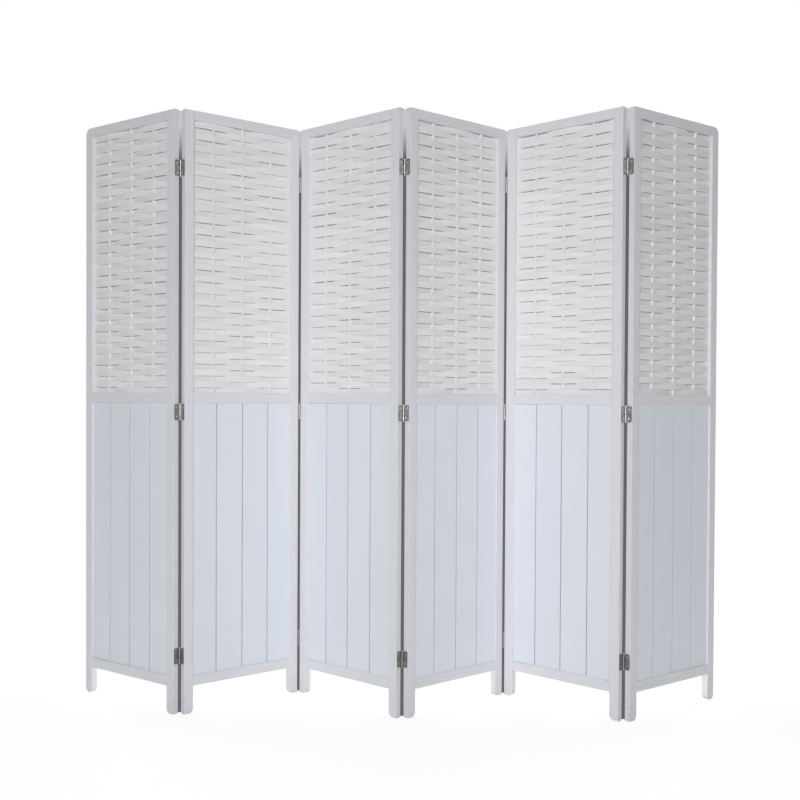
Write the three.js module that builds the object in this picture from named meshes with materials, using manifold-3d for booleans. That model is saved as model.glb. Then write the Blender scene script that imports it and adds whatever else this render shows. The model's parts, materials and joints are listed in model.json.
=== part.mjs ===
// Folding screen of six hinged panels, standing in a zigzag.
// Each panel is a frame of two posts and three rails: the upper opening holds flat strips
// woven round three upright laths, the lower opening holds four upright grooved boards.
// Neighbouring panels are joined by three butt hinges, whose leaves lie on the post edges.
// Units are millimetres, Z is up, and the origin is on the floor under the middle of the box.
import * as THREE from "three";
import { mergeVertices } from "three/addons/utils/BufferGeometryUtils.js";
import Module from "manifold-3d";

const wasm = await Module();
wasm.setup();

// ---- Panel frame ----
const PANEL_WIDTH = 400;
const PANEL_HEIGHT = 1750;
const FRAME_THICKNESS = 20;
const POST_WIDTH = 30;
const TOP_RAIL_HEIGHT = 28;
const MIDDLE_RAIL_HEIGHT = 30;
const MIDDLE_RAIL_TOP = 933;
const BOTTOM_RAIL_HEIGHT = 30;
const FOOT_HEIGHT = 80;
const FOOT_CORNER_RADIUS = 14;
const TOP_CORNER_RADIUS = 20;
const CLEARANCE = 0.3;

// ---- Joints between rails and posts ----
const TENON_LENGTH = 12;
const TENON_THICKNESS = 8;
const TENON_SHOULDER = 5;

// ---- Woven infill ----
const STRIP_COUNTS = [46, 46, 46, 46, 47, 46];
const STRIP_THICKNESS = 1.6;
const LATH_COUNT = 3;
const LATH_SPACING = 100;
const LATH_WIDTH = 7;
const LATH_THICKNESS = 6;
const LATH_TENON_LENGTH = 6;

// ---- Boarded infill ----
const BOARD_COUNT = 4;
const BOARD_WIDTH = 90;
const BOARD_THICKNESS = 5;
const BOARD_SETBACK = 5;
const BOARD_TONGUE = 6;
const GROOVE_WIDTH = 3;
const GROOVE_DEPTH = 1.3;

// ---- Butt hinges ----
const HINGE_HEIGHT = 45;
const HINGE_LEAF_REACH = 19;
const HINGE_LEAF_THICKNESS = 1.2;
const BARREL_RADIUS = 3;
const PIN_RADIUS = 1.3;
const SLEEVE_HEIGHT = 18;
const BARREL_SIDES = 12;
const PIN_FACE_SETBACK = 1;
const TOP_HINGE_DROP = 168;
const MIDDLE_HINGE_DROP = 55;
const BOTTOM_HINGE_RISE = 169;

// ---- Stance ----
const FIRST_HEADING_DEG = -36.4;
const FOLDS_DEG = [76, -81, 83, -84, 81];
const OUTER_LATHS_LEAD = [true, true, false, false, false, false];

// ---- Sizes that follow ----
const MIDDLE_RAIL_BOTTOM = MIDDLE_RAIL_TOP - MIDDLE_RAIL_HEIGHT;
const BOTTOM_RAIL_TOP = FOOT_HEIGHT + BOTTOM_RAIL_HEIGHT;
const TOP_RAIL_BOTTOM = PANEL_HEIGHT - TOP_RAIL_HEIGHT;
const MID_PLANE = FRAME_THICKNESS / 2;
const PIN_OFFSET = BARREL_RADIUS + CLEARANCE;
const HINGE_LEVELS = {
  bottom: BOTTOM_HINGE_RISE,
  middle: MIDDLE_RAIL_TOP - MIDDLE_HINGE_DROP,
  top: PANEL_HEIGHT - TOP_HINGE_DROP,
};
const ARC_STEPS = 6;

// ---- Finishes ----
const whitePaint = () =>
  new THREE.MeshStandardMaterial({ color: 0xe4e4e8, roughness: 0.5, metalness: 0 });
const stripPaint = () =>
  new THREE.MeshStandardMaterial({ color: 0xe8e6e6, roughness: 0.6, metalness: 0 });
const nickelPlate = () =>
  new THREE.MeshStandardMaterial({ color: 0x9a978f, roughness: 0.35, metalness: 1 });

// A closed three.js geometry as a solid that can be joined and cut.
function solidOf(geometry) {
  const bare = geometry.clone();
  bare.deleteAttribute("normal");
  bare.deleteAttribute("uv");
  const merged = mergeVertices(bare, 1e-4);
  return new wasm.Manifold(
    new wasm.Mesh({
      numProp: 3,
      vertProperties: new Float32Array(merged.attributes.position.array),
      triVerts: new Uint32Array(merged.index.array),
    }),
  );
}

// A solid as a named mesh.
function meshOf(name, solid, material) {
  const { vertProperties, triVerts } = solid.getMesh();
  const geometry = new THREE.BufferGeometry();
  geometry.setAttribute("position", new THREE.BufferAttribute(vertProperties, 3));
  geometry.setIndex(new THREE.BufferAttribute(triVerts, 1));
  geometry.computeVertexNormals();
  const mesh = new THREE.Mesh(geometry, material);
  mesh.name = name;
  return mesh;
}

// A block between two opposite corners.
function block([x0, y0, z0], [x1, y1, z1]) {
  const geometry = new THREE.BoxGeometry(x1 - x0, y1 - y0, z1 - z0);
  geometry.translate((x0 + x1) / 2, (y0 + y1) / 2, (z0 + z1) / 2);
  return solidOf(geometry);
}

// A front-view outline of [x, z] points, carried through the frame's thickness.
function plate(outline) {
  const shape = new THREE.Shape(outline.map(([x, z]) => new THREE.Vector2(x, z)));
  const geometry = new THREE.ExtrudeGeometry(shape, {
    depth: FRAME_THICKNESS,
    bevelEnabled: false,
  });
  geometry.rotateX(Math.PI / 2);
  geometry.translate(0, FRAME_THICKNESS, 0);
  return solidOf(geometry);
}

// A plan-view outline of [x, y] points, carried from one height to another.
function prism(outline, low, high) {
  const shape = new THREE.Shape(outline.map(([x, y]) => new THREE.Vector2(x, y)));
  const geometry = new THREE.ExtrudeGeometry(shape, {
    depth: high - low,
    bevelEnabled: false,
  });
  geometry.translate(0, 0, low);
  return solidOf(geometry);
}

// An upright cylinder round the point x, y.
function rod(radius, x, y, low, high) {
  const geometry = new THREE.CylinderGeometry(radius, radius, high - low, BARREL_SIDES);
  geometry.rotateX(Math.PI / 2);
  geometry.translate(x, y, (low + high) / 2);
  return solidOf(geometry);
}

// The points of a quarter turn round x, z, starting at an angle in quarters of a turn.
function quarterArc(x, z, radius, startQuarter) {
  return Array.from({ length: ARC_STEPS + 1 }, (_, i) => {
    const angle = (startQuarter + i / ARC_STEPS) * (Math.PI / 2);
    return [x + radius * Math.cos(angle), z + radius * Math.sin(angle)];
  });
}

// A tenon bar between two x values, in the middle of the thickness of a rail from low to high.
function tenonBar(fromX, toX, low, high, growth) {
  const half = TENON_THICKNESS / 2 + growth;
  return block(
    [fromX, MID_PLANE - half, low + TENON_SHOULDER - growth],
    [toX, MID_PLANE + half, high - TENON_SHOULDER + growth],
  );
}

// The x of each lath's middle, from left to right.
function lathCentres() {
  return Array.from(
    { length: LATH_COUNT },
    (_, i) => PANEL_WIDTH / 2 + (i - (LATH_COUNT - 1) / 2) * LATH_SPACING,
  );
}

// The blocks at the laths' ends, grown by a clearance where they are used as sockets.
function lathEnds(low, high, growth) {
  return lathCentres().map((x) =>
    block(
      [x - LATH_WIDTH / 2 - growth, MID_PLANE - LATH_THICKNESS / 2 - growth, low],
      [x + LATH_WIDTH / 2 + growth, MID_PLANE + LATH_THICKNESS / 2 + growth, high],
    ),
  );
}

// A post, whose lower end is a foot. The free posts at the two ends of the screen are
// rounded on their outer side as well, at the top and at the foot.
function makePost(isRight, isFree) {
  const free = isFree ? 1 : 0;
  const inner = POST_WIDTH - FOOT_CORNER_RADIUS;
  const footCorner = quarterArc(inner, FOOT_CORNER_RADIUS, FOOT_CORNER_RADIUS, 3);
  const outerTop = quarterArc(
    TOP_CORNER_RADIUS, PANEL_HEIGHT - TOP_CORNER_RADIUS, TOP_CORNER_RADIUS, 1,
  );
  const outerFoot = quarterArc(
    FOOT_CORNER_RADIUS, FOOT_CORNER_RADIUS, FOOT_CORNER_RADIUS, 2,
  );
  const outline = [
    ...footCorner,
    [POST_WIDTH, PANEL_HEIGHT],
    ...(free ? outerTop : [[0, PANEL_HEIGHT]]),
    ...(free ? outerFoot : [[0, 0]]),
  ];
  const place = isRight ? ([x, z]) => [PANEL_WIDTH - x, z] : (point) => point;
  const deep = isRight ? PANEL_WIDTH - POST_WIDTH : POST_WIDTH;
  const inward = isRight ? 1 : -1;
  const bottomOfMortise = deep + inward * TENON_LENGTH;
  const bottomOfGroove = deep + inward * BOARD_TONGUE;
  const [left, right] = [bottomOfMortise, deep].sort((a, b) => a - b);
  const [grooveLeft, grooveRight] = [bottomOfGroove, deep].sort((a, b) => a - b);
  let post = plate(outline.map(place));
  for (const [low, high] of [
    [FOOT_HEIGHT, BOTTOM_RAIL_TOP],
    [MIDDLE_RAIL_BOTTOM, MIDDLE_RAIL_TOP],
    [TOP_RAIL_BOTTOM, PANEL_HEIGHT],
  ])
    post = post.subtract(tenonBar(left, right, low, high, CLEARANCE));
  return post.subtract(
    block(
      [grooveLeft, BOARD_SETBACK - CLEARANCE, BOTTOM_RAIL_TOP],
      [grooveRight, BOARD_SETBACK + BOARD_THICKNESS + CLEARANCE, MIDDLE_RAIL_BOTTOM],
    ),
  );
}

// A rail of full thickness with a tenon at each end.
function makeRail(low, high) {
  const body = block(
    [POST_WIDTH + CLEARANCE, 0, low],
    [PANEL_WIDTH - POST_WIDTH - CLEARANCE, FRAME_THICKNESS, high],
  );
  const reach = TENON_LENGTH - CLEARANCE;
  return body.add(
    tenonBar(POST_WIDTH - reach, PANEL_WIDTH - POST_WIDTH + reach, low, high, 0),
  );
}

// The top rail, with a socket under it for the end of each lath.
function makeTopRail() {
  return lathEnds(
    TOP_RAIL_BOTTOM - 1, TOP_RAIL_BOTTOM + LATH_TENON_LENGTH, CLEARANCE,
  ).reduce(
    (rail, socket) => rail.subtract(socket),
    makeRail(TOP_RAIL_BOTTOM, PANEL_HEIGHT),
  );
}

// The middle and bottom rails with the four boards between them, as one glued assembly.
function makeBoardedBase() {
  const front = BOARD_SETBACK;
  const back = BOARD_SETBACK + BOARD_THICKNESS;
  const reach = BOARD_TONGUE - CLEARANCE;
  const seams = Array.from(
    { length: BOARD_COUNT - 1 },
    (_, i) => PANEL_WIDTH / 2 + (i + 1 - BOARD_COUNT / 2) * BOARD_WIDTH,
  );
  const notch = (x, face, depth) => [
    [x - GROOVE_WIDTH / 2, face],
    [x, face + depth],
    [x + GROOVE_WIDTH / 2, face],
  ];
  const outline = [
    [POST_WIDTH - reach, front],
    ...seams.flatMap((x) => notch(x, front, GROOVE_DEPTH)),
    [PANEL_WIDTH - POST_WIDTH + reach, front],
    [PANEL_WIDTH - POST_WIDTH + reach, back],
    ...seams.flatMap((x) => notch(x, back, -GROOVE_DEPTH)).reverse(),
    [POST_WIDTH - reach, back],
  ];
  const boards = prism(
    outline, BOTTOM_RAIL_TOP + CLEARANCE, MIDDLE_RAIL_BOTTOM - CLEARANCE,
  );
  const held = block(
    [POST_WIDTH + CLEARANCE, front, BOTTOM_RAIL_TOP - 1],
    [PANEL_WIDTH - POST_WIDTH - CLEARANCE, back, BOTTOM_RAIL_TOP + 1],
  ).add(
    block(
      [POST_WIDTH + CLEARANCE, front, MIDDLE_RAIL_BOTTOM - 1],
      [PANEL_WIDTH - POST_WIDTH - CLEARANCE, back, MIDDLE_RAIL_BOTTOM + 1],
    ),
  );
  const base = makeRail(FOOT_HEIGHT, BOTTOM_RAIL_TOP)
    .add(makeRail(MIDDLE_RAIL_BOTTOM, MIDDLE_RAIL_TOP))
    .add(boards)
    .add(held);
  return lathEnds(
    MIDDLE_RAIL_TOP - LATH_TENON_LENGTH, MIDDLE_RAIL_TOP + 1, CLEARANCE,
  ).reduce((solid, socket) => solid.subtract(socket), base);
}

// One woven strip in plan: it swings in front of one lath and behind the next, and every
// crossing is as thick as the strip and the lath together.
function stripOutline(leadsAtOuterLaths) {
  const centres = lathCentres();
  const flat = STRIP_THICKNESS / 2;
  const stations = [{ x: POST_WIDTH + CLEARANCE, front: -flat, back: flat }];
  centres.forEach((x, i) => {
    const leads = (i % 2 === 0) === leadsAtOuterLaths;
    const lath = LATH_THICKNESS / 2;
    const proud = lath + STRIP_THICKNESS;
    stations.push({ x, front: leads ? -proud : -lath, back: leads ? lath : proud });
    if (i < LATH_COUNT - 1)
      stations.push({ x: (x + centres[i + 1]) / 2, front: -flat, back: flat });
  });
  stations.push({
    x: PANEL_WIDTH - POST_WIDTH - CLEARANCE, front: -flat, back: flat,
  });
  return [
    ...stations.map(({ x, front }) => [x, MID_PLANE + front]),
    ...stations.reverse().map(({ x, back }) => [x, MID_PLANE + back]),
  ];
}

// The weave: the strips stacked from the middle rail to the top rail, and the laths' ends.
function makeWovenInfill(stripCount, outerLathsLead) {
  const low = MIDDLE_RAIL_TOP + CLEARANCE;
  const high = TOP_RAIL_BOTTOM - CLEARANCE;
  const pitch = (high - low) / stripCount;
  const edgeOf = (i) => (i === stripCount ? high : low + i * pitch);
  const strips = Array.from({ length: stripCount }, (_, i) => {
    const fromTop = stripCount - 1 - i;
    const leads = (fromTop % 2 === 0) === outerLathsLead;
    return prism(stripOutline(leads), edgeOf(i), edgeOf(i + 1));
  });
  const reach = LATH_TENON_LENGTH - CLEARANCE;
  const ends = [
    ...lathEnds(low - reach, low + pitch / 2, 0),
    ...lathEnds(high - pitch / 2, high + reach, 0),
  ];
  return wasm.Manifold.union([...strips, ...ends]);
}

// One leaf of a butt hinge, round a pin axis at x = 0, y = 0. The plate runs from the pin
// towards -Y on the -X side. The pin leaf has the two end knuckles and the pin, the sleeve
// leaf has the bored knuckle between them.
function makeHingeLeaf(level, carriesPin) {
  const low = level - HINGE_HEIGHT / 2;
  const high = level + HINGE_HEIGHT / 2;
  const sleeveLow = level - SLEEVE_HEIGHT / 2;
  const sleeveHigh = level + SLEEVE_HEIGHT / 2;
  const outer = -BARREL_RADIUS;
  const inner = outer + HINGE_LEAF_THICKNESS;
  const plateFrom = (start, bottom, top) =>
    block([outer, -HINGE_LEAF_REACH, bottom], [inner, -start, top]);
  let leaf = plateFrom(BARREL_RADIUS + CLEARANCE, low, high);
  if (carriesPin)
    for (const [bottom, top] of [
      [low, sleeveLow - CLEARANCE],
      [sleeveHigh + CLEARANCE, high],
    ])
      leaf = leaf
        .add(plateFrom(0, bottom, top))
        .add(rod(BARREL_RADIUS, 0, 0, bottom, top));
  else
    leaf = leaf
      .add(plateFrom(0, sleeveLow, sleeveHigh))
      .add(rod(BARREL_RADIUS, 0, 0, sleeveLow, sleeveHigh));
  return carriesPin
    ? leaf.add(rod(PIN_RADIUS, 0, 0, low, high))
    : leaf.subtract(rod(PIN_RADIUS + CLEARANCE, 0, 0, low - 1, high + 1));
}

// The pin axis of a joint in the frame of the panel on its left or right. Joints that fold
// towards the back have the pin behind the back faces, the others before the front faces.
function pinPlace(foldDeg, isOnRight) {
  return [
    isOnRight ? PANEL_WIDTH + PIN_OFFSET : -PIN_OFFSET,
    foldDeg > 0 ? FRAME_THICKNESS + PIN_FACE_SETBACK : -PIN_FACE_SETBACK,
  ];
}

// The three hinge leaves that one panel holds at one of its joints.
function makeHingeLeaves(jointName, foldDeg, isOnRight) {
  const [x, y] = pinPlace(foldDeg, isOnRight);
  const kind = isOnRight ? "pin_leaf" : "sleeve_leaf";
  return Object.entries(HINGE_LEVELS).map(([levelName, level]) => {
    const leaf = makeHingeLeaf(level, isOnRight)
      .scale([isOnRight ? 1 : -1, foldDeg > 0 ? 1 : -1, 1])
      .translate([x, y, 0]);
    return meshOf(`${jointName}_${levelName}_hinge_${kind}`, leaf, nickelPlate());
  });
}

// Every piece of one panel, in the panel's own frame: X along it from its left edge, Y into
// its thickness from the front face.
function makePanel(index) {
  const number = index + 1;
  const isFirst = index === 0;
  const isLast = index === FOLDS_DEG.length;
  const panel = new THREE.Group();
  panel.name = `panel_${number}`;
  const name = (piece) => `panel_${number}_${piece}`;
  panel.add(
    meshOf(name("left_post"), makePost(false, isFirst), whitePaint()),
    meshOf(name("right_post"), makePost(true, isLast), whitePaint()),
    meshOf(name("top_rail"), makeTopRail(), whitePaint()),
    meshOf(name("boarded_base"), makeBoardedBase(), whitePaint()),
    meshOf(
      name("woven_infill"),
      makeWovenInfill(STRIP_COUNTS[index], OUTER_LATHS_LEAD[index]),
      stripPaint(),
    ),
  );
  if (!isFirst)
    panel.add(
      ...makeHingeLeaves(`joint_${number - 1}_${number}`, FOLDS_DEG[index - 1], false),
    );
  if (!isLast)
    panel.add(
      ...makeHingeLeaves(`joint_${number}_${number + 1}`, FOLDS_DEG[index], true),
    );
  return panel;
}

// The screen: each panel hangs on the one to its left, turned round their shared pin axis.
const screen = new THREE.Group();
let carrier = new THREE.Group();
carrier.rotation.z = THREE.MathUtils.degToRad(FIRST_HEADING_DEG);
screen.add(carrier);
carrier.add(makePanel(0));
FOLDS_DEG.forEach((foldDeg, index) => {
  const [rightX, rightY] = pinPlace(foldDeg, true);
  const [leftX, leftY] = pinPlace(foldDeg, false);
  const pin = new THREE.Group();
  pin.name = `joint_${index + 1}_${index + 2}`;
  pin.position.set(rightX, rightY, 0);
  pin.rotation.z = THREE.MathUtils.degToRad(foldDeg);
  const next = new THREE.Group();
  next.position.set(-leftX, -leftY, 0);
  next.add(makePanel(index + 1));
  pin.add(next);
  carrier.add(pin);
  carrier = next;
});

// The origin moves to the floor under the middle of the screen's box.
const box = new THREE.Box3().setFromObject(screen);
const middle = box.getCenter(new THREE.Vector3());
screen.position.set(-middle.x, -middle.y, -box.min.z);

export default screen;
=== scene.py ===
"""Dresses the six-panel folding screen: painted posts, rails and boards, woven strips, nickel hinges.

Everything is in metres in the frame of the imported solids. Each panel is worked out in its own
frame first (X along the panel from its left edge, Y into its thickness from the front face, Z up)
and then turned and moved to its place in the zigzag.
"""

import json
import logging
import math
from dataclasses import dataclass, field, replace
from enum import Enum
from typing import Any, Callable, Iterable

import bpy
import numpy as np
from mathutils import Matrix, Vector


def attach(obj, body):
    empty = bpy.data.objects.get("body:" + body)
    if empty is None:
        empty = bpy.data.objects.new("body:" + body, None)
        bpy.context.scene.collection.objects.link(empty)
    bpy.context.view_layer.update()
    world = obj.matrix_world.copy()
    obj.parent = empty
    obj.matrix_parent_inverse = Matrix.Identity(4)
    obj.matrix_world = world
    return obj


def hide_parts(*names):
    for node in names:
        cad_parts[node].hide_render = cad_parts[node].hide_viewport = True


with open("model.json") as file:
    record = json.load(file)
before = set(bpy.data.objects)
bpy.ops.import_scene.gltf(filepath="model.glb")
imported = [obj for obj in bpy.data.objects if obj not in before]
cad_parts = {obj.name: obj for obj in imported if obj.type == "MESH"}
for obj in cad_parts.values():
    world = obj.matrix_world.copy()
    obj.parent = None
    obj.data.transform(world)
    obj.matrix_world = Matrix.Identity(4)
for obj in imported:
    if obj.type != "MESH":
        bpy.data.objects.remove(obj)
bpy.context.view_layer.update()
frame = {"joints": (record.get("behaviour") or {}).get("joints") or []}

MM = 0.001
WHITE = (1.0, 1.0, 1.0, 1.0)
Array = np.ndarray
Motion = Callable[[Array], Array]
Place = tuple[float, float, float]
Colour = tuple[float, float, float, float]
Material = bpy.types.Material
Socket = bpy.types.NodeSocket
log = logging.getLogger("folding_screen")


# ---- Named options ----


class Grain(Enum):
    """Which way the wood grain runs on a piece."""

    UPRIGHT = "upright"
    LEVEL = "level"


class Side(Enum):
    """The side of a panel that a post or a hinge leaf is on."""

    LEFT = "left"
    RIGHT = "right"


class HingeLevel(Enum):
    """Where a hinge sits on the posts, with the height of its middle in metres."""

    BOTTOM = 0.169
    MIDDLE = 0.878
    TOP = 1.582


# ---- Surfaces ----


def grid_quads(rows: int, columns: int, wrap_columns: bool, wrap_rows: bool = False) -> Array:
    """Quads of a grid of points that are numbered row by row.

    Args:
        rows: number of rows of points.
        columns: number of points in each row.
        wrap_columns: whether the last point of a row joins its first.
        wrap_rows: whether the last row joins the first.

    Returns:
        An array of four point numbers for each quad.
    """
    row = np.arange(rows if wrap_rows else rows - 1)[:, None]
    column = np.arange(columns if wrap_columns else columns - 1)[None, :]
    next_row, next_column = (row + 1) % rows, (column + 1) % columns
    corners = [
        row * columns + column,
        row * columns + next_column,
        next_row * columns + next_column,
        next_row * columns + column,
    ]
    return np.stack(corners, axis=-1).reshape(-1, 4)


@dataclass
class Shell:
    """A closed surface as arrays.

    Attributes:
        points: place of each point.
        faces: arrays of point numbers, one array for each number of corners.
        rounded: for each array in faces, whether its faces are shaded as a curve.
        grain: length along and distance across the grain at each point, in metres.
        marks: named values at each point, such as how worn it is or how much painted shade it takes.
    """

    points: Array
    faces: list[Array]
    rounded: list[bool]
    grain: Array
    marks: dict[str, Array] = field(default_factory=dict)

    def outward(self) -> "Shell":
        """The same surface with its faces turned outwards.

        Its signed volume, the sum of the pyramids from the origin to each fan triangle, tells
        whether they have to be turned.
        """
        volume = 0.0
        for group in self.faces:
            fan = self.points[group]
            volume += float(np.sum(np.cross(fan[:, 1:-1], fan[:, 2:]) * fan[:, :1])) / 6.0
        if volume >= 0:
            return self
        return replace(self, faces=[group[:, ::-1] for group in self.faces])

    def moved(self, place: Motion) -> "Shell":
        """The surface with every point carried by a function of an array of points."""
        return replace(self, points=place(self.points))

    def marked(self, name: str, values: Array | float) -> "Shell":
        """The surface with one more named value at each point."""
        spread = np.broadcast_to(np.asarray(values, float), (len(self.points),)).copy()
        return replace(self, marks={**self.marks, name: spread})


def joined(shells: Iterable[Shell]) -> Shell:
    """Several closed surfaces as one, each keeping its own faces.

    Args:
        shells: the surfaces.

    Returns:
        One surface that holds all of them, with the marks that they share.
    """
    parts = list(shells)
    offsets = np.cumsum([0] + [len(part.points) for part in parts])
    names = [name for name in parts[0].marks if all(name in part.marks for part in parts)]
    return Shell(
        np.concatenate([part.points for part in parts]),
        [group + start for part, start in zip(parts, offsets) for group in part.faces],
        [flag for part in parts for flag in part.rounded],
        np.concatenate([part.grain for part in parts]),
        {name: np.concatenate([part.marks[name] for part in parts]) for name in names},
    )


def inset_directions(outline: Array) -> Array:
    """How each corner of an anticlockwise outline moves when its sides move in by one.

    With m and n the inward normals of the two sides that meet at a corner, the corner moves
    by the sum of m and n over one plus their dot product.

    Args:
        outline: corners in order.

    Returns:
        One direction for each corner.
    """
    side = np.roll(outline, -1, axis=0) - outline
    side /= np.linalg.norm(side, axis=1, keepdims=True)
    inward = np.stack([-side[:, 1], side[:, 0]], axis=1)
    before = np.roll(inward, 1, axis=0)
    bend = 1.0 + np.sum(before * inward, axis=1, keepdims=True)
    return (before + inward) / bend


def stacked(rings: Array, grain: Grain, curved: tuple[int, ...] = ()) -> Shell:
    """Rings of points, each joined to the next, with a flat face on the first and the last.

    Args:
        rings: points by ring, corner and axis.
        grain: which way the grain runs.
        curved: the bands between rings, counted from 0, that are shaded as a curve.

    Returns:
        The closed surface.
    """
    count, corners = rings.shape[:2]
    bands = grid_quads(count, corners, True).reshape(count - 1, corners, 4)
    soft = np.isin(np.arange(count - 1), curved)
    ends = np.stack([np.arange(corners)[::-1], np.arange(corners) + (count - 1) * corners])
    faces = [bands[soft].reshape(-1, 4), bands[~soft].reshape(-1, 4), ends]
    points = rings.reshape(-1, 3)
    return Shell(points, faces, [True, False, False], grain_of(points, grain)).outward()


def slab(outline: Array, front: float, back: float, rounding: float, grain: Grain) -> Shell:
    """A flat piece with a front-view outline, a thickness and softly rounded long edges.

    The surface is a stack of rings, each the outline moved in by some amount at some depth.
    Round an edge of radius r the ring at angle a is in by r(1 - sin a) at depth r(1 - cos a).
    One more ring lies just inside each edge, where the mark for wear falls back to none.

    Args:
        outline: anticlockwise corners as x and z.
        front: y of the front face.
        back: y of the back face.
        rounding: radius of the rounded edges.
        grain: which way the grain runs.

    Returns:
        The closed surface, with a mark "edge" that is 1 along its edges.
    """
    turn = np.linspace(0.0, math.pi / 2, 4)
    inset, depth = rounding * (1 - np.sin(turn)), rounding * (1 - np.cos(turn))
    fade = 2.2 * MM
    ring_inset = np.concatenate([[rounding + fade], inset, [0.0, 0.0], inset[::-1], [rounding + fade]])
    ring_depth = np.concatenate([
        [front], front + depth, [front + rounding + fade, back - rounding - fade],
        back - depth[::-1], [back],
    ])
    ring_edge = np.concatenate([[0.0], np.ones(4), [0.0, 0.0], np.ones(4), [0.0]])
    flat = outline[None] + inset_directions(outline)[None] * ring_inset[:, None, None]
    x, z = flat[..., 0], flat[..., 1]
    rings = np.stack([x, ring_depth[:, None] + 0 * x, z], axis=-1)
    return stacked(rings, grain, (1, 2, 3, 7, 8, 9)).marked("edge", np.repeat(ring_edge, len(outline)))


def grain_of(points: Array, grain: Grain) -> Array:
    """Length along the grain, and distance across it, which runs on round an edge."""
    along, across = (2, 0) if grain is Grain.UPRIGHT else (0, 2)
    return np.stack([points[:, along], points[:, across] + points[:, 1]], axis=1)


def upright_sweep(outline: Array, bottom: float, top: float, stations: int, bow: float = 0.0) -> Shell:
    """A plan outline carried straight up, bowed a little to the front or back.

    The outline at height z moves back by bow times the sine of half a turn from end to end.

    Args:
        outline: plan corners as x and y, anticlockwise.
        bottom: lowest z.
        top: highest z.
        stations: number of heights that carry points.
        bow: how far the middle moves back.

    Returns:
        The closed surface.
    """
    share = np.linspace(0.0, 1.0, stations)[:, None]
    x, y = outline[:, 0] + 0 * share, outline[:, 1] + bow * np.sin(math.pi * share)
    return stacked(np.stack([x, y, bottom + (top - bottom) * share + 0 * x], axis=-1), Grain.UPRIGHT)


def lathe(profile: Array, sides: int, closed: bool) -> Shell:
    """A profile of radius and height turned round the upright axis.

    Args:
        profile: radius and height of each point. Unless it is closed, it starts and ends on
            the axis, where its points are drawn together into one.
        sides: number of points round the axis.
        closed: whether the last point joins the first, as on a tube.

    Returns:
        The closed surface.
    """
    angle = np.arange(sides) * (2 * math.pi / sides)
    ring = profile if closed else profile[1:-1]
    points = np.stack(
        [ring[:, :1] * np.cos(angle), ring[:, :1] * np.sin(angle), ring[:, 1:] + 0 * angle],
        axis=-1,
    ).reshape(-1, 3)
    faces = [grid_quads(len(ring), sides, True, wrap_rows=closed)]
    if not closed:
        first, end = len(points), (len(ring) - 1) * sides
        here = np.arange(sides)
        there = (here + 1) % sides
        low = np.stack([np.full(sides, first), there, here], axis=1)
        high = np.stack([np.full(sides, first + 1), here + end, there + end], axis=1)
        points = np.concatenate([points, [[0, 0, profile[0, 1]], [0, 0, profile[-1, 1]]]])
        faces.append(np.concatenate([low, high]))
    return Shell(points, faces, [True] * len(faces), grain_of(points, Grain.UPRIGHT)).outward()


def quarter(x: float, z: float, radius: float, start: float, steps: int = 10) -> Array:
    """Points of a quarter circle round x, z, from a start angle in quarters of a turn."""
    angle = (start + np.linspace(0.0, 1.0, steps + 1)) * (math.pi / 2)
    return np.stack([x + radius * np.cos(angle), z + radius * np.sin(angle)], axis=1)


def rectangle(left: float, right: float, low: float, high: float) -> Array:
    """The four corners of an upright rectangle, anticlockwise."""
    return np.array([[left, low], [right, low], [right, high], [left, high]])


# ---- Shaders ----


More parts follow.
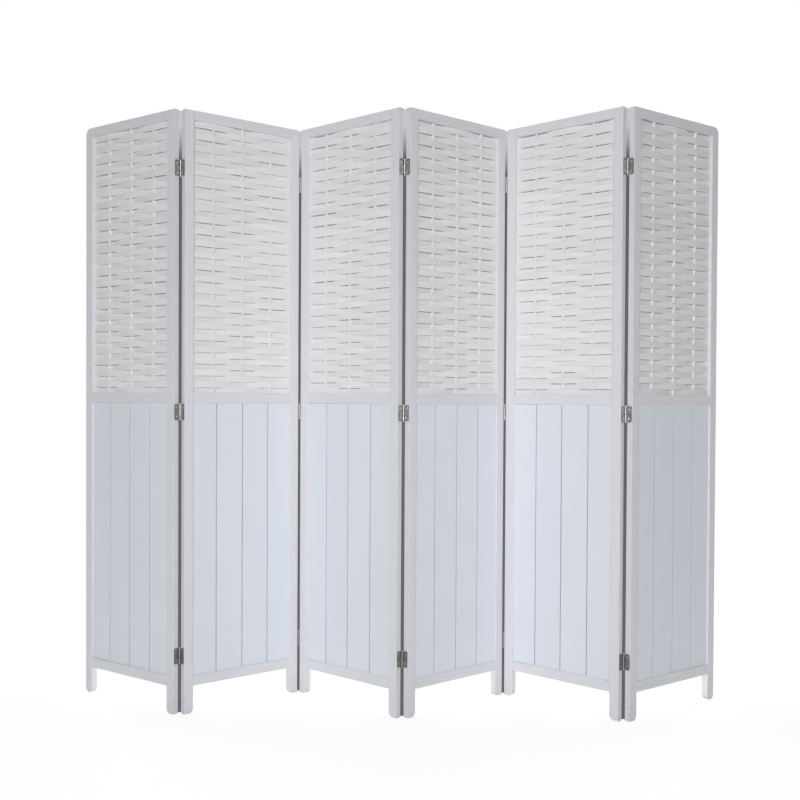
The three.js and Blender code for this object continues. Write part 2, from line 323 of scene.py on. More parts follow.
class Recipe:
    """The node tree of one material, sky or lamp, built through one method and the Amount class."""

    def __init__(self, owner: Material | bpy.types.World | bpy.types.Light) -> None:
        """Empties the tree of a new material, sky or lamp."""
        self.owner = owner
        owner.use_nodes = True
        self.tree = owner.node_tree
        self.tree.nodes.clear()

    @classmethod
    def material(cls, name: str) -> "Recipe":
        """Starts a material of that name."""
        return cls(bpy.data.materials.new(name))

    def node(self, kind: str, inputs: dict[Any, Any] | None = None, **settings: Any) -> bpy.types.Node:
        """Adds a node.

        Args:
            kind: the node's type.
            inputs: value, socket or Amount for each input, by name or number.
            settings: its properties, set before its inputs.

        Returns:
            The node.
        """
        made = self.tree.nodes.new(kind)
        for key, value in settings.items():
            setattr(made, key, value)
        for key, value in (inputs or {}).items():
            source = value.socket if isinstance(value, Amount) else value
            if isinstance(source, Socket):
                self.tree.links.new(source, made.inputs[key])
            else:
                made.inputs[key].default_value = source
        return made

    def amount(self, socket: Socket) -> "Amount":
        """A number socket that can be used in sums."""
        return Amount(self, socket)

    def place(self) -> Socket:
        """Where a shaded point is, in the object's own frame."""
        return self.node("ShaderNodeTexCoord").outputs["Object"]

    def height(self) -> "Amount":
        """How high a shaded point is above the ground."""
        return self.amount(self.node("ShaderNodeSeparateXYZ", {"Vector": self.place()}).outputs["Z"])

    def mark(self, name: str) -> "Amount":
        """The named value that a piece carries at its points."""
        return self.amount(self.node("ShaderNodeAttribute", attribute_name=name).outputs["Fac"])

    def seen(self) -> "Amount":
        """1 for what the camera sees, straight or in shiny metal, and 0 for what only gives light."""
        rays = self.node("ShaderNodeLightPath").outputs
        return (self.amount(rays["Is Camera Ray"]) + self.amount(rays["Is Glossy Ray"])).held()

    def noise(
        self, vector: Socket, scale: float, detail: float, roughness: float = 0.5
    ) -> "Amount":
        """Noise from about 0 to 1 with its middle at a half."""
        inputs = {"Vector": vector, "Scale": scale, "Detail": detail, "Roughness": roughness}
        return self.amount(self.node("ShaderNodeTexNoise", inputs, noise_dimensions="3D").outputs["Fac"])

    def streaks(
        self, vector: Socket, scale: Place, detail: float,
        roughness: float = 0.5,
    ) -> "Amount":
        """Noise whose scale differs from axis to axis, so that it runs in lines."""
        inputs = {"Vector": vector, "Scale": scale}
        mapped = self.node("ShaderNodeMapping", inputs, vector_type="POINT").outputs["Vector"]
        return self.noise(mapped, 1.0, detail, roughness)

    def blend(self, share: "Amount | float", first: Any, second: Any) -> Socket:
        """A colour between two colours.

        Args:
            share: 0 gives the first colour and 1 the second.
            first: a colour or a colour socket.
            second: a colour or a colour socket.

        Returns:
            The colour socket.
        """
        settings = {"data_type": "RGBA", "blend_type": "MIX", "clamp_factor": True}
        return self.node("ShaderNodeMix", {0: share, 6: first, 7: second}, **settings).outputs[2]

    def shader(self, kind: str, colour: Any, strength: Any = None) -> Socket:
        """A plain shader of one colour, with a strength where it gives light."""
        light = {} if strength is None else {"Strength": strength}
        return self.node(kind, {"Color": colour, **light}).outputs[0]

    def mixed(
        self, share: "Amount", first: Socket, second: Socket
    ) -> Socket:
        """The first shader where the share is 0 and the second where it is 1."""
        return self.node("ShaderNodeMixShader", {0: share, 1: first, 2: second}).outputs[0]

    def finish(self, shader: Socket) -> Material:
        """Joins a shader to the output and hands back the material."""
        self.node("ShaderNodeOutputMaterial", {"Surface": shader})
        return self.owner

    def surface(
        self, look: dict[str, Any], strength: float, distance: float, relief: "Amount"
    ) -> Material:
        """Ends a material with a surface that has a fine relief.

        Args:
            look: the surface's colour, roughness and the like.
            strength: how strongly the relief bends the light.
            distance: its height in metres.
            relief: its shape, from 0 to about 1.

        Returns:
            The material.
        """
        bump = self.node("ShaderNodeBump", {"Strength": strength, "Distance": distance, "Height": relief})
        normal = {"Normal": bump.outputs["Normal"]}
        return self.finish(self.node("ShaderNodeBsdfPrincipled", {**look, **normal}).outputs["BSDF"])


class Amount:
    """A number socket whose sums add Math nodes to the material."""

    def __init__(self, recipe: Recipe, socket: Socket) -> None:
        """Wraps a socket of a recipe."""
        self.recipe, self.socket = recipe, socket

    def _math(self, operation: str, first: Any, second: Any = 0.0) -> "Amount":
        """One Math node, with the result held between 0 and 1 where its name starts with +."""
        made = self.recipe.node(
            "ShaderNodeMath", {0: first, 1: second},
            operation=operation.lstrip("+"), use_clamp=operation.startswith("+"),
        )
        return Amount(self.recipe, made.outputs[0])

    def __add__(self, other: Any) -> "Amount":
        """The sum."""
        return self._math("ADD", self, other)

    __radd__ = __add__

    def __sub__(self, other: Any) -> "Amount":
        """The difference."""
        return self._math("SUBTRACT", self, other)

    def __rsub__(self, other: Any) -> "Amount":
        """The difference, the other way round."""
        return self._math("SUBTRACT", other, self)

    def __mul__(self, other: Any) -> "Amount":
        """The product."""
        return self._math("MULTIPLY", self, other)

    __rmul__ = __mul__

    def held(self) -> "Amount":
        """The same number held between 0 and 1."""
        return self._math("+ADD", self, 0.0)

    def above(self, start: float, end: float) -> "Amount":
        """0 up to start and 1 from end on, with a straight climb between them."""
        return ((self - start) * (1.0 / (end - start))).held()


# ---- Finishes ----


@dataclass(frozen=True)
class Paint:
    """White paint brushed on wood, through which a little of the grain shows.

    Attributes:
        name: the material's name.
        colour: the paint's colour.
        shade: the colour that it falls to where it is duller.
        deep: the colour of painted shade in board seams and under strips.
        worn: the colour of thin paint on an edge.
        roughness: how matt it is.
        relief: height of the grain and brush marks.
        tone_swing: how far boards and strips differ from each other, as a share of shade.
    """

    name: str
    colour: Colour
    shade: Colour
    deep: Colour
    worn: Colour
    roughness: float
    relief: float
    tone_swing: float

    def build(self) -> Material:
        """Makes the material.

        The colour falls towards the shade with a slow cloud, with fine streaks along the
        grain and with each piece's own tone. Where the mark for painted shade is high, in board
        seams and under strips, it falls to the deep colour as painted shade. Edges turn to the
        worn colour where a patchy noise is high. The streaks and a fine stipple give the relief.

        Returns:
            The material.
        """
        recipe = Recipe.material(self.name)
        place = recipe.place()
        grain = recipe.node("ShaderNodeUVMap", uv_map="grain").outputs["UV"]
        cloud = recipe.noise(place, 5.0, 3.0)
        streaks = recipe.streaks(grain, (7.0, 420.0, 1.0), 4.0, 0.62)
        stipple = recipe.noise(place, 900.0, 2.0)
        patches = recipe.noise(place, 38.0, 4.0, 0.7)
        tone = recipe.mark("tone") * self.tone_swing
        dull = ((cloud - 0.5) * 0.35 + (streaks - 0.5) * 0.45 + tone + 0.22).held()
        wear = (recipe.mark("edge") * patches.above(0.52, 0.72) * 0.55).held()
        scuffs = ((1.0 - recipe.height().above(0.0, 0.075)) * patches.above(0.5, 0.68) * 0.5).held()
        painted = recipe.blend(dull, self.colour, self.shade)
        # Painted shade: the colour falls to the deep colour in board seams and under the strips in front.
        shaded = recipe.blend(recipe.mark("hollow").held(), painted, self.deep)
        used = recipe.blend((wear + scuffs).held(), shaded, self.worn)
        sheen = (streaks - 0.5) * 0.16 + (cloud - 0.5) * 0.10 + wear * 0.15 + self.roughness
        look = {"Base Color": used, "Roughness": sheen, "Specular IOR Level": 0.42}
        return recipe.surface(look, 0.55, self.relief, streaks * 0.8 + stipple * 0.22 + patches * 0.12)


@dataclass(frozen=True)
class Plate:
    """Dull nickel plate on steel, faintly stained.

    Attributes:
        name: the material's name.
        colour: the untarnished metal; for the hinge plate it is set well below clean nickel, as a painted
            reflection of a dim room.
        stain: the colour of tarnish.
        roughness: how matt it is.
    """

    name: str
    colour: Colour
    stain: Colour
    roughness: float

    def build(self) -> Material:
        """Makes the material: metal whose colour and gloss vary with patches and rolling marks.

        Returns:
            The material.
        """
        recipe = Recipe.material(self.name)
        patches = recipe.noise(recipe.place(), 160.0, 4.0, 0.65)
        lines = recipe.streaks(recipe.place(), (900.0, 900.0, 40.0), 3.0)
        tarnish = (patches.above(0.42, 0.7) * 0.7 + (lines - 0.5) * 0.3).held()
        look = {
            "Base Color": recipe.blend(tarnish, self.colour, self.stain),
            "Metallic": 1.0,
            "Roughness": (lines - 0.5) * 0.2 + tarnish * 0.12 + self.roughness,
        }
        return recipe.surface(look, 0.35, 0.00006, lines + patches * 0.5)


@dataclass(frozen=True)
class PaleGround:
    """The white ground: it looks white to the camera and still takes a faint shadow."""

    name: str = "pale_ground"
    shadow_share: float = 0.16
    glow: float = 0.88
    near: float = 1.1
    far: float = 1.9

    def build(self) -> Material:
        """Makes the material: matt white, and for seen rays mostly a plain white glow.

        Near the screen a faint matt share keeps its shadow. From near to far that share goes
        over into plain white.

        Returns:
            The material.
        """
        recipe = Recipe.material(self.name)
        squeezed = recipe.node(
            "ShaderNodeVectorMath", {0: recipe.place(), 1: (0.75, 1.0, 0.0)}, operation="MULTIPLY"
        ).outputs["Vector"]
        length = recipe.node("ShaderNodeVectorMath", {0: squeezed}, operation="LENGTH").outputs["Value"]
        away = recipe.amount(length).above(self.near, self.far)
        matt = recipe.shader("ShaderNodeBsdfDiffuse", (0.86, 0.86, 0.86, 1.0))
        faint = recipe.shader("ShaderNodeBsdfDiffuse", (self.shadow_share,) * 3 + (1.0,))
        glow = recipe.shader("ShaderNodeEmission", WHITE, self.glow)
        both = recipe.node("ShaderNodeAddShader", {0: faint, 1: glow}).outputs[0]
        shown = recipe.mixed(away, both, recipe.shader("ShaderNodeEmission", WHITE, 1.0))
        return recipe.finish(recipe.mixed(recipe.seen(), matt, shown))


@dataclass(frozen=True)
class GapShade:
    """Painted shade: a near black colour that stands for the darkness seen through the narrow gaps between
    neighbouring posts.
    """

    name: str = "gap_shade"

    def build(self) -> Material:
        """Makes the material: near black painted shade, turning paler towards its top end as painted light
        falling in.
        """
        recipe = Recipe.material(self.name)
        # Painted light: the colour turns pale over the top of the gaps.
        light = recipe.height().above(1.61, 1.70)
        colour = recipe.blend(light, (0.13, 0.13, 0.14, 1.0), (0.60, 0.61, 0.64, 1.0))
        return recipe.finish(recipe.shader("ShaderNodeBsdfDiffuse", colour))


@dataclass(frozen=True)
class Finishes:
    """Every material of the screen, made once."""

    frame: Material
    boards: Material
    strips: Material
    nickel: Material
    screw: Material
    gap: Material

    @classmethod
    def make(cls) -> "Finishes":
        """Builds the materials in the colours of the screen."""
        return cls(
            # Painted reflection: the frame's faint lavender and the boards' blue tint stand for cool light
            # reflected by the same white paint.
            frame=Paint(
                "frame_paint", (0.722, 0.723, 0.757, 1), (0.643, 0.645, 0.685, 1),
                (0.10, 0.10, 0.10, 1), (0.56, 0.53, 0.50, 1), 0.42, 0.00012, 0.25,
            ).build(),
            boards=Paint(
                "board_paint", (0.742, 0.779, 0.834, 1), (0.632, 0.671, 0.735, 1),
                (0.16, 0.16, 0.17, 1), (0.54, 0.52, 0.50, 1), 0.45, 0.00013, 0.10,
            ).build(),
            strips=Paint(
                "strip_paint", (0.812, 0.798, 0.810, 1), (0.686, 0.669, 0.677, 1),
                (0.26, 0.245, 0.23, 1), (0.58, 0.55, 0.52, 1), 0.50, 0.00016, 0.18,
            ).build(),
            # Painted reflection: the plate's nickel is darker than the screws' and than clean nickel, as
            # if it mirrored a dim room.
            nickel=Plate("nickel_plate", (0.355, 0.355, 0.352, 1), (0.125, 0.125, 0.124, 1), 0.34).build(),
            screw=Plate("nickel_screw", (0.63, 0.63, 0.62, 1), (0.31, 0.31, 0.30, 1), 0.24).build(),
            gap=GapShade().build(),
        )


# ---- Placing ----


@dataclass(frozen=True)
class PanelSizes:
    """The sizes that every panel shares."""

    width: float = 0.400
    height: float = 1.750
    thickness: float = 0.020
    post: float = 0.030
    top_rail: float = 0.028
    middle_rail: float = 0.030
    middle_rail_top: float = 0.933
    bottom_rail: float = 0.030
    foot: float = 0.080
    foot_corner: float = 0.014
    top_corner: float = 0.020
    edge: float = 0.0013
    pin_gap: float = 0.0033
    pin_setback: float = 0.001

    @property
    def middle_rail_bottom(self) -> float:
        """Height of the middle rail's underside."""
        return self.middle_rail_top - self.middle_rail

    @property
    def bottom_rail_top(self) -> float:
        """Height of the bottom rail's upper side."""
        return self.foot + self.bottom_rail

    @property
    def top_rail_bottom(self) -> float:
        """Height of the top rail's underside."""
        return self.height - self.top_rail


@dataclass(frozen=True)
class Zigzag:
    """Where each panel stands: each is turned round the pin that it shares with the one before."""

    sizes: PanelSizes = PanelSizes()
    first_heading: float = -36.4
    folds: tuple[int, ...] = (76, -81, 83, -84, 81)

    @property
    def headings(self) -> Array:
        """Each panel's direction in plan, in radians."""
        return np.radians(self.first_heading + np.cumsum([0, *self.folds]))

    def pin(self, joint: int, side: Side) -> Array:
        """A joint's pin in the frame of the panel that has it on that side.

        Args:
            joint: number of the joint from 0.
            side: the side of the panel that the pin is on.

        Returns:
            x and y of the pin.
        """
        reach = self.sizes.width + self.sizes.pin_gap if side is Side.RIGHT else -self.sizes.pin_gap
        behind = self.sizes.thickness + self.sizes.pin_setback
        return np.array([reach, behind if self.folds[joint] > 0 else -self.sizes.pin_setback])

    @property
    def turns(self) -> Array:
        """Each panel's plan rotation as a 2 by 2 matrix."""
        cos, sin = np.cos(self.headings), np.sin(self.headings)
        return np.stack([np.stack([cos, -sin], -1), np.stack([sin, cos], -1)], -2)

    @property
    def corners(self) -> Array:
        """Each panel's front left corner, with the first pin on the first joint of the solids."""
        turns, starts = self.turns, [np.zeros(2)]
        for joint in range(len(self.folds)):
            pin = starts[joint] + turns[joint] @ self.pin(joint, Side.RIGHT)
            starts.append(pin - turns[joint + 1] @ self.pin(joint, Side.LEFT))
        joint_place = np.array(frame["joints"][0]["pos_m"][:2])
        return np.array(starts) + joint_place - turns[0] @ self.pin(0, Side.RIGHT)

    def placed(self, panel: int) -> Motion:
        """The function that carries points from a panel's own frame to the screen's.

        Args:
            panel: number of the panel from 0.

        Returns:
            A function of an array of points.
        """
        turn, corner = self.turns[panel], self.corners[panel]

        def carry(points: Array) -> Array:
            """Turns points in plan and moves them to the panel's corner."""
            moved = points.copy()
            moved[:, :2] = points[:, :2] @ turn.T + corner
            return moved

        return carry


@dataclass
class Maker:
    """Turns surfaces into pieces that ride on their panel."""

    plan: Zigzag
    count: int = 0

    def piece(
        self, name: str, shell: Shell, material: Material, panel: int,
        stands_for: tuple[str, ...] = (),
    ) -> None:
        """Makes a piece of one panel, with its place in its mesh.

        Args:
            name: the piece's name.
            shell: its surface in the panel's own frame.
            material: its finish.
            panel: number of the panel from 0.
            stands_for: the solids that it stands for.
        """
        placed = shell.moved(self.plan.placed(panel)).outward()
        thing = build_object(name, placed, material)
        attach(thing, f"panel_{panel + 1}")
        if stands_for:
            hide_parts(*stands_for)
        self.count += 1
        log.info("made %s with %d points", name, len(placed.points))


def build_object(name: str, shell: Shell, material: Material) -> bpy.types.Object:
    """Puts a surface into a mesh object at the origin, with its grain map and its marks.

    Args:
        name: the object's name.
        shell: the surface.
        material: its finish.

    Returns:
        The object.
    """
    mesh = bpy.data.meshes.new(name)
    faces = [face for group in shell.faces for face in group.tolist()]
    mesh.from_pydata(shell.points.tolist(), [], faces)
    flags = np.concatenate([np.full(len(g), r) for g, r in zip(shell.faces, shell.rounded)])
    mesh.polygons.foreach_set("use_smooth", flags)
    corners = np.empty(len(mesh.loops), np.int32)
    mesh.loops.foreach_get("vertex_index", corners)
    layer = mesh.uv_layers.new(name="grain")
    layer.data.foreach_set("uv", shell.grain[corners].astype(np.float32).ravel())
    for mark in ("edge", "hollow", "tone"):
        values = shell.marks.get(mark, np.zeros(len(shell.points)))
        attribute = mesh.attributes.new(mark, "FLOAT", "POINT")
        attribute.data.foreach_set("value", values.astype(np.float32))
    mesh.materials.append(material)
    mesh.set_sharp_from_angle(angle=math.radians(38))
    mesh.validate()
    return linked(name, mesh)


def linked(name: str, data: Any) -> bpy.types.Object:
    """A new object of the scene that holds a mesh, a lamp or a camera."""
    thing = bpy.data.objects.new(name, data)
    bpy.context.scene.collection.objects.link(thing)
    return thing


# ---- Sub-assemblies ----


@dataclass
class PanelPart:
    """A sub-assembly of one panel, whose number is counted from 0."""

    sizes: PanelSizes
    index: int

    def add(
        self, maker: Maker, name: str, shell: Shell, finish: Material, slot: str, node: str
    ) -> None:
        """Makes one piece of the panel.

        Args:
            maker: what makes the pieces.
            name: the piece's name without the panel's.
            shell: its surface in the panel's frame.
            finish: its material.
            slot: the record's material slot; not used.
            node: the solid that it stands for, without the panel's name.
        """
        panel = f"panel_{self.index + 1}"
        maker.piece(f"{panel}_{name}", shell, finish, self.index, (f"{panel}_{node}",))


@dataclass
class PanelFrame(PanelPart):
    """Posts and rails of one panel."""

    last: int
    joint_line: float = 0.00025
    tenon: float = 0.010
    tenon_shoulder: float = 0.005
    tenon_thickness: float = 0.008
    tenon_edge: float = 0.0002
    rail_edge_share: float = 0.8

    def post(self, side: Side) -> Shell:
        """A post, whose lower end is a foot with a rounded inner corner.

        The free posts at the two ends of the screen are rounded on their outer side as well.

        Args:
            side: which post it is.

        Returns:
            The surface in the panel's frame.
        """
        s = self.sizes
        free = self.index == (0 if side is Side.LEFT else self.last)
        r, t = s.foot_corner, s.top_corner
        outline = [quarter(s.post - r, r, r, 3), [[s.post, s.height]]]
        if free:
            outline += [quarter(t, s.height - t, t, 1), quarter(r, r, r, 2)]
        else:
            outline += [[[0.0, s.height], [0.0, 0.0]]]
        corners = np.concatenate([np.asarray(part, float) for part in outline])
        if side is Side.RIGHT:
            corners = np.stack([s.width - corners[:, 0], corners[:, 1]], axis=1)[::-1]
        return slab(corners, 0.0, s.thickness, s.edge, Grain.UPRIGHT)

    def rail(self, low: float, high: float) -> Shell:
        """A rail between two heights, with a fine joint line at each post and a tenon in it.

        Args:
            low: height of its underside.
            high: height of its upper side.

        Returns:
            The surface in the panel's frame.
        """
        s = self.sizes
        left, right = s.post + self.joint_line, s.width - s.post - self.joint_line
        edge = s.edge * self.rail_edge_share
        body = slab(rectangle(left, right, low, high), 0.0, s.thickness, edge, Grain.LEVEL)
        middle, half = s.thickness / 2, self.tenon_thickness / 2
        end, shoulder = s.post - self.tenon, self.tenon_shoulder
        outline = rectangle(end, s.width - end, low + shoulder, high - shoulder)
        tenon = slab(outline, middle - half, middle + half, self.tenon_edge, Grain.LEVEL)
        return joined([body, tenon])

    def build(self, maker: Maker, finishes: Finishes) -> None:
        """Makes the panel's two posts and three rails."""
        s = self.sizes
        pieces = [(f"post_{side.value}", self.post(side), f"{side.value}_post") for side in Side]
        pieces += [
            ("rail_top", self.rail(s.top_rail_bottom, s.height), "top_rail"),
            ("rail_middle", self.rail(s.middle_rail_bottom, s.middle_rail_top), "boarded_base"),
            ("rail_bottom", self.rail(s.foot, s.bottom_rail_top), "boarded_base"),
        ]
        for name, shell, node in pieces:
            self.add(maker, name, shell, finishes.frame, "frame_paint", node)


@dataclass
class BoardedField(PanelPart):
    """The four tongued boards of one panel's lower field."""

    count: int = 4
    board: float = 0.090
    thickness: float = 0.005
    setback: float = 0.005
    hold: float = 0.004
    groove_half: float = 0.0016
    groove_depth: float = 0.0014
    seam: float = 0.00012
    tongue: float = 0.003
    tongue_share: float = 0.28
    groove_depth_play: float = 1.1
    groove_width_play: float = 1.2
    stations: int = 9

    def outline(self, number: int) -> tuple[Array, Array]:
        """Plan outline of one board, with V edges at its seams, and which points take painted shade.

        Args:
            number: number of the board from 0.

        Returns:
            The corners as x and y, anticlockwise, and 1 at each corner that is deep in a groove, where
            painted shade darkens the seam.
        """
        s = self.sizes
        seams = s.width / 2 + (np.arange(1, self.count) - self.count / 2) * self.board
        first, last = number == 0, number == self.count - 1
        left = s.post - self.hold if first else seams[number - 1] + self.seam
        right = s.width - s.post + self.hold if last else seams[number] - self.seam
        front, back = self.setback, self.setback + self.thickness
        v, lip, cheek = self.groove_half, front + self.groove_depth, back - self.groove_depth
        middle, slim = (lip + cheek) / 2, (cheek - lip) * self.tongue_share

        def profile(x: float, bevel: float, reach: float, half: float) -> list[tuple[float, ...]]:
            """One long edge from front to back: a bevel, a tongue or its groove, a bevel."""
            return [
                (x + bevel, front, 0), (x, lip, 1), (x, middle - half, 1),
                (x + reach, middle - half, 1), (x + reach, middle + half, 1),
                (x, middle + half, 1), (x, cheek, 1), (x + bevel, back, 0),
            ]

        near, far = [(left, front, 0), (left, back, 0)], [(right, front, 0), (right, back, 0)]
        if not first:
            groove, wide = self.tongue * self.groove_depth_play, slim * self.groove_width_play
            near = profile(left, v, groove, wide)
        if not last:
            far = profile(right, -v, self.tongue, slim)
        table = np.array(near[::-1] + far, float)
        return table[:, :2], table[:, 2]

    def build(self, maker: Maker, finishes: Finishes) -> None:
        """Makes the boards, each with its own tone and a slight bow of its own."""
        s = self.sizes
        random = np.random.default_rng(40 + self.index)
        for number in range(self.count):
            outline, deep = self.outline(number)
            shell = upright_sweep(
                outline, s.bottom_rail_top - self.hold, s.middle_rail_bottom + self.hold,
                self.stations, random.uniform(-0.3, 0.3) * MM,
            )
            # Painted shade: the corners deep in the V grooves are darkened as if in shadow.
            shell = shell.marked("hollow", np.tile(deep, self.stations))
            shell = shell.marked("tone", random.uniform(-1.0, 1.0))
            shell.grain += random.uniform(0.0, 3.0, 2)
            self.add(
                maker, f"board_{number + 1}", shell, finishes.boards, "frame_paint", "boarded_base"
            )


@dataclass
class WovenField(PanelPart):
    """The upright laths and the flat strips of one panel's upper field."""

    leads_at_outer_laths: bool
    rows: int
    lath_count: int = 3
    lath_spacing: float = 0.100
    lath_width: float = 0.007
    lath_thickness: float = 0.006
    lath_hold: float = 0.006
    strip_thickness: float = 0.0016
    hold: float = 0.003
    row_gap: float = 0.00024
    spread_up: float = 0.0011
    spread_down: float = 0.0009
    shade_start: float = 0.0024
    shade_full: float = 0.0017
    level_share: float = 0.22
    climb: float = 0.6
    play: float = 0.0001
    rail_play: float = 0.0002
    flank: float = 0.008
    lath_corner: float = 0.0009

    @property
    def lath_centres(self) -> Array:
        """x of the middle of each lath."""
        steps = np.arange(self.lath_count) - (self.lath_count - 1) / 2
        return self.sizes.width / 2 + steps * self.lath_spacing

    def lath(self, centre: float) -> Shell:
        """A lath: a plan rectangle with softly rounded corners, carried up between the rails."""
        s, r = self.sizes, self.lath_corner
        w, t = self.lath_width / 2 - r, self.lath_thickness / 2 - r
        middle = s.thickness / 2
        outline = np.concatenate([
            quarter(centre + w, middle - t, r, 3, 2), quarter(centre + w, middle + t, r, 0, 2),
            quarter(centre - w, middle + t, r, 1, 2), quarter(centre - w, middle - t, r, 2, 2),
        ])
        return upright_sweep(
            outline, s.middle_rail_top - self.lath_hold, s.top_rail_bottom + self.lath_hold, 3
        )

    def stations(self) -> Array:
        """x of the places along a strip that carry points: closest together at the laths."""
        s, laths = self.sizes, self.lath_centres
        half, flank = self.lath_width / 2, self.flank
        near = np.array([-flank, -half, 0.0, half, flank])
        between = np.linspace(flank, self.lath_spacing - flank, 7)[1:-1]
        parts = [c + near for c in laths] + [c + between for c in laths[:-1]]
        parts.append(np.linspace(s.post - self.hold, laths[0] - flank, 6)[:-1])
        parts.append(np.linspace(s.width - s.post + self.hold, laths[-1] + flank, 6)[:-1])
        return np.sort(np.concatenate(parts))

    def swing(self, x: Array) -> Array:
        """How far a strip is to the front (1) or back (-1) of the middle along its length.

        It is flat across each lath. Between two laths it goes over as two fifths of the cosine
        of half a turn and three fifths of a straight line. From the outer laths to the posts
        it falls to the middle as one minus the distance to the power 1.6.

        Args:
            x: distance along the panel.

        Returns:
            The swing at each x, for a strip that leads at the outer laths.
        """
        laths, flat = self.lath_centres, self.lath_width / 2
        bay = np.clip((x - laths[0]) / self.lath_spacing, 0.0, self.lath_count - 1.0)
        cell = np.minimum(np.floor(bay), self.lath_count - 2)
        rest = flat / self.lath_spacing
        share = np.clip((bay - cell - rest) / (1 - 2 * rest), 0.0, 1.0)
        bend = 0.4 * np.cos(math.pi * share) + 0.6 * (1 - 2 * share)
        inner = bend * np.where(cell % 2 == 0, 1.0, -1.0)
        outside = np.maximum(laths[0] - x, x - laths[-1])
        reach = laths[0] - self.sizes.post - flat
        fall = 1.0 - np.clip((outside - flat) / reach, 0.0, 1.0) ** 1.6
        return inner * np.where(outside > 0, fall, 1.0)

    def strips(self) -> Shell:
        """All the strips at once, as one grid of row, station and corner of the section.

        A strip's middle line is the swing times half the lath and half the strip. Where it is
        well to the front or the back it is a little taller, so that it covers the seam behind
        it. The band under its upper edge, on the face that lies back, takes painted shade: a dark
        stroke that stands for the shadow and the dark slit under the strip in front. Each row
        has its own small errors of height, bow and tilt, from a seeded table.

        Returns:
            The closed surfaces of the strips as one shell.
        """
        s = self.sizes
        random = np.random.default_rng(700 + self.index)
        low, high = s.middle_rail_top, s.top_rail_bottom
        pitch = (high - low) / self.rows
        x = self.stations()
        from_top = np.arange(self.rows)[::-1]
        lead = np.where((from_top % 2 == 0) == self.leads_at_outer_laths, -1.0, 1.0)

        def draw(scale: float) -> Array:
            """One small error for each row."""
            return random.normal(0.0, scale, self.rows)[:, None]

        along = (x - s.width / 2)[None, :] / (s.width / 2)
        away = lead[:, None] * self.swing(x)[None, :]
        depth = (self.lath_thickness + self.strip_thickness) / 2 + self.play
        y = s.thickness / 2 + away * (depth + np.abs(draw(0.12 * MM))) + draw(0.10 * MM) * (1 - along**2)
        centre = low + (np.arange(self.rows)[:, None] + 0.5) * pitch
        rise = draw(0.12 * MM) * (1 - along**2) + draw(0.15 * MM) * along
        spread = np.clip((np.abs(away) - self.level_share) / self.climb, 0.0, 1.0)
        half = (pitch - self.row_gap) / 2
        deep = np.abs(draw(0.25 * MM))
        levels = np.stack([
            -half - self.spread_down * spread + draw(0.08 * MM),
            half - self.shade_start - deep + 0 * spread,
            half - self.shade_full - deep + 0 * spread,
            half + self.spread_up * spread + draw(0.08 * MM),
        ])
        level_of = np.array([0, 1, 2, 3, 3, 2, 1, 0])
        face_of = np.repeat([-1.0, 1.0], 4)
        points = np.empty((self.rows, len(x), 8, 3))
        points[..., 0] = x[None, :, None]
        points[..., 1] = y[:, :, None] + self.strip_thickness / 2 * face_of
        points[..., 2] = (centre + rise)[:, :, None] + np.moveaxis(levels[level_of], 0, -1)
        points[..., 2] = points[..., 2].clip(low + self.rail_play, high - self.rail_play)
        nearest = np.abs(x[:, None] - self.lath_centres[None, :]).argmin(axis=1)
        # Painted shade: each row at each lath gets its own start and strength of the dark stroke under the
        # strip in front.
        start = random.uniform(0.02, 0.34, (self.rows, self.lath_count))[:, nearest, None]
        strength = random.uniform(0.35, 1.15, (self.rows, self.lath_count))[:, nearest, None]
        painted_shade_share = np.clip((-away[:, :, None] * face_of - start) / self.level_share, 0.0, 1.0)
        size = len(x) * 8
        starts = np.arange(self.rows)[:, None, None] * size
        sides = (grid_quads(len(x), 8, True)[None] + starts).reshape(-1, 4)
        ends = np.stack([np.arange(8)[::-1], np.arange(8) + size - 8])[None] + starts
        shift = random.uniform(0.0, 5.0, (self.rows, 1, 1, 2))
        grain = np.stack([points[..., 0], points[..., 2]], axis=-1) + shift
        tone = np.repeat(random.normal(0.0, 0.55, self.rows).clip(-1.2, 1.2), size)
        return Shell(
            points.reshape(-1, 3), [sides, ends.reshape(-1, 8)], [True, False],
            grain.reshape(-1, 2),
            {"tone": tone, "hollow": (painted_shade_share * (level_of > 1) * strength).ravel()},
        ).outward()

    def build(self, maker: Maker, finishes: Finishes) -> None:
        """Makes the laths and the strips."""
        pieces = [(f"lath_{n + 1}", self.lath(x)) for n, x in enumerate(self.lath_centres)]
        for name, shell in [*pieces, ("strips", self.strips())]:
            self.add(maker, name, shell, finishes.strips, "strip_paint", "woven_infill")


